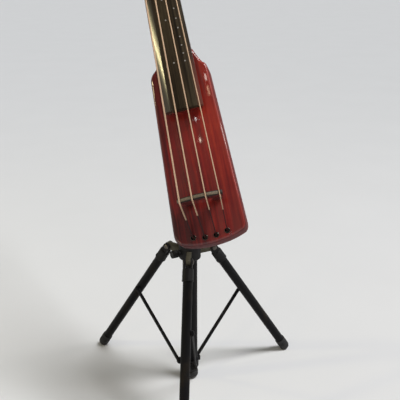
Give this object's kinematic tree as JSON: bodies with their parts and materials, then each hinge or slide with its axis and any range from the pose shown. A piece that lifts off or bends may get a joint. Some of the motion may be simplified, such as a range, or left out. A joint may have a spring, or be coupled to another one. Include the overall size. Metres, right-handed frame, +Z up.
{
  "type": "electric upright bass",
  "caption": "Slim solid-bodied electric upright bass with a long fretless fingerboard and strings, leaning on a folding tripod stand with a sliding mast and tilting head.",
  "frame": {"origin": "centre of the bounding box in plan, on the floor that the three rubber feet stand on", "axes": "+Z up the column; the face of the bass and the front leg point towards -Y; +X is the treble side, to the right in the picture"},
  "size_m": [0.4926, 0.788, 1.4827],
  "materials": {
    "stained_wood": "dark red stained figured maple under gloss lacquer",
    "ebony": "oiled dark ebony, streaky",
    "bridge_wood": "plain brown-grey hardwood, satin",
    "bone": "polished pale bone",
    "wound_bronze": "flat wound bronze-coloured strings",
    "steel": "nickelled steel",
    "tuner_brass": "satin brass",
    "circuit_board": "green solder mask",
    "rubber": "matt black rubber",
    "grey_plastic": "moulded warm grey plastic",
    "black_plastic": "moulded black plastic",
    "black_paint": "semi-gloss black powder coat on steel"
  },
  "bodies": {
    "column": {"column_tube": "black_paint", "column_end_cap": "rubber", "lower_collar": "black_paint", "height_clamp": "black_plastic"},
    "hub": {"hub": "grey_plastic"},
    "hub_lock": {"hub_lock_knob": "black_plastic"},
    "height_lock": {"height_lock_knob": "black_plastic"},
    "mast": {"inner_tube": "steel", "tilt_yoke": "black_paint"},
    "tilt_lock": {"tilt_knob": "black_plastic"},
    "head": {"tilt_head": "steel"},
    "bass": {"body": "stained_wood", "neck": "stained_wood", "fingerboard": "ebony", "nut": "bone", "bridge": "bridge_wood", "back_cover": "black_plastic", "output_jack": "steel", "battery": "black_plastic", "preamp_board": "circuit_board", "mount_plate": "black_paint", "mount_screw_upper": "steel", "mount_screw_lower": "steel", "tuner_plate_bass": "tuner_brass", "tuner_plate_treble": "tuner_brass", "string_e": "wound_bronze", "string_a": "wound_bronze", "string_d": "wound_bronze", "string_g": "wound_bronze", "tail_ferrule_e": "steel", "tail_ferrule_a": "steel", "tail_ferrule_d": "steel", "tail_ferrule_g": "steel"},
    "volume": {"volume_knob": "black_plastic"},
    "tone": {"tone_knob": "black_plastic"},
    "brace_front": {"brace_front": "black_paint"},
    "leg_front": {"leg_front": "black_paint", "leg_head_front": "black_plastic", "hub_pin_front": "steel", "foot_front": "rubber"},
    "brace_right": {"brace_right": "black_paint"},
    "leg_right": {"leg_right": "black_paint", "leg_head_right": "black_plastic", "hub_pin_right": "steel", "foot_right": "rubber"},
    "brace_left": {"brace_left": "black_paint"},
    "leg_left": {"leg_left": "black_paint", "leg_head_left": "black_plastic", "hub_pin_left": "steel", "foot_left": "rubber"},
    "post_e": {"tuner_post_e": "tuner_brass"},
    "key_e": {"tuner_key_e": "tuner_brass"},
    "post_a": {"tuner_post_a": "tuner_brass"},
    "key_a": {"tuner_key_a": "tuner_brass"},
    "post_d": {"tuner_post_d": "tuner_brass"},
    "key_d": {"tuner_key_d": "tuner_brass"},
    "post_g": {"tuner_post_g": "tuner_brass"},
    "key_g": {"tuner_key_g": "tuner_brass"}
  },
  "joints": [
    {"name": "tripod_fold", "type": "hinge", "parent": "column", "child": "brace_front", "pos_m": [0.01286, -0.15527, 0.037], "axis": [0.999, -0.0454, 0], "range_deg": [-23.8, 0]},
    {"name": "leg_front_fold", "type": "hinge", "parent": "brace_front", "child": "leg_front", "pos_m": [0.00783, -0.26604, 0.18633], "axis": [0.999, -0.0454, 0], "range_deg": [0, 53.8]},
    {"name": "brace_right_fold", "type": "hinge", "parent": "column", "child": "brace_right", "pos_m": [0.03292, -0.12389, 0.037], "axis": [-0.4602, 0.8878, 0], "range_deg": [-23.8, 0]},
    {"name": "leg_right_fold", "type": "hinge", "parent": "brace_right", "child": "leg_right", "pos_m": [0.13137, -0.07286, 0.18633], "axis": [-0.4602, 0.8878, 0], "range_deg": [0, 53.8]},
    {"name": "brace_left_fold", "type": "hinge", "parent": "column", "child": "brace_left", "pos_m": [-0.00428, -0.1222, 0.037], "axis": [-0.5388, -0.8425, 0], "range_deg": [-23.8, 0]},
    {"name": "leg_left_fold", "type": "hinge", "parent": "brace_left", "child": "leg_left", "pos_m": [-0.0977, -0.06246, 0.18633], "axis": [-0.5388, -0.8425, 0], "range_deg": [0, 53.8]},
    {"name": "hub_level", "type": "hinge", "parent": "leg_front", "child": "hub", "pos_m": [0.01138, -0.18773, 0.305], "axis": [0.999, -0.0454, 0], "range_deg": [-30, 0]},
    {"name": "hub_lock_turn", "type": "hinge", "parent": "hub", "child": "hub_lock", "pos_m": [-0.01177, -0.1474, 0.305], "axis": [-0.8829, -0.4695, 0], "continuous": true},
    {"name": "height_lock_turn", "type": "hinge", "parent": "column", "child": "height_lock", "pos_m": [0.03895, -0.14829, 0.428], "axis": [0.866, -0.5, 0], "continuous": true},
    {"name": "height_slide", "type": "slide", "parent": "column", "child": "mast", "axis": [0, 0, 1], "range_m": [-0.03, 0.09]},
    {"name": "tilt", "type": "hinge", "parent": "mast", "child": "head", "pos_m": [0.01383, -0.13379, 0.53], "axis": [0.9774, -0.2113, 0], "range_deg": [-20, 12]},
    {"name": "tilt_lock_turn", "type": "hinge", "parent": "mast", "child": "tilt_lock", "pos_m": [0.01383, -0.13379, 0.53], "axis": [0.9774, -0.2113, 0], "continuous": true},
    {"name": "swing", "type": "hinge", "parent": "head", "child": "bass", "pos_m": [0.00538, -0.17289, 0.5531], "axis": [-0.183, -0.8465, 0.5], "range_deg": [-18, 12]},
    {"name": "volume_turn", "type": "hinge", "parent": "bass", "child": "volume", "pos_m": [0.05008, -0.21901, 0.4864], "axis": [0.183, 0.8465, -0.5], "range_deg": [-150, 150]},
    {"name": "tone_turn", "type": "hinge", "parent": "bass", "child": "tone", "pos_m": [0.07517, -0.2205, 0.49306], "axis": [0.183, 0.8465, -0.5], "range_deg": [-150, 150]},
    {"name": "post_e_turn", "type": "hinge", "parent": "bass", "child": "post_e", "pos_m": [-0.18537, 0.29093, 1.37845], "axis": [-0.2129, -0.7417, 0.6361], "continuous": true},
    {"name": "key_e_turn", "type": "hinge", "parent": "bass", "child": "key_e", "pos_m": [-0.21145, 0.32091, 1.36631], "axis": [0.9649, -0.0574, 0.2561], "continuous": true},
    {"name": "post_a_turn", "type": "hinge", "parent": "bass", "child": "post_a", "pos_m": [-0.19642, 0.33905, 1.43086], "axis": [-0.2129, -0.7417, 0.6361], "continuous": true},
    {"name": "key_a_turn", "type": "hinge", "parent": "bass", "child": "key_a", "pos_m": [-0.2225, 0.36902, 1.41872], "axis": [0.9649, -0.0574, 0.2561], "continuous": true},
    {"name": "post_d_turn", "type": "hinge", "parent": "bass", "child": "post_d", "pos_m": [-0.15782, 0.33675, 1.4411], "axis": [-0.2129, -0.7417, 0.6361], "continuous": true},
    {"name": "key_d_turn", "type": "hinge", "parent": "bass", "child": "key_d", "pos_m": [-0.12601, 0.36329, 1.44433], "axis": [0.9649, -0.0574, 0.2561], "continuous": true},
    {"name": "post_g_turn", "type": "hinge", "parent": "bass", "child": "post_g", "pos_m": [-0.14677, 0.28864, 1.38869], "axis": [-0.2129, -0.7417, 0.6361], "continuous": true},
    {"name": "key_g_turn", "type": "hinge", "parent": "bass", "child": "key_g", "pos_m": [-0.11496, 0.31517, 1.39192], "axis": [0.9649, -0.0574, 0.2561], "continuous": true}
  ],
  "couplings": [
    {"joint": "leg_front_fold", "follows": "tripod_fold", "ratio": -2.258},
    {"joint": "brace_right_fold", "follows": "tripod_fold", "ratio": 1},
    {"joint": "leg_right_fold", "follows": "tripod_fold", "ratio": -2.258},
    {"joint": "brace_left_fold", "follows": "tripod_fold", "ratio": 1},
    {"joint": "leg_left_fold", "follows": "tripod_fold", "ratio": -2.258},
    {"joint": "hub_level", "follows": "tripod_fold", "ratio": 1.258},
    {"joint": "post_e_turn", "follows": "key_e_turn", "ratio": -0.05},
    {"joint": "post_a_turn", "follows": "key_a_turn", "ratio": -0.05},
    {"joint": "post_d_turn", "follows": "key_d_turn", "ratio": 0.05},
    {"joint": "post_g_turn", "follows": "key_g_turn", "ratio": 0.05}
  ]
}
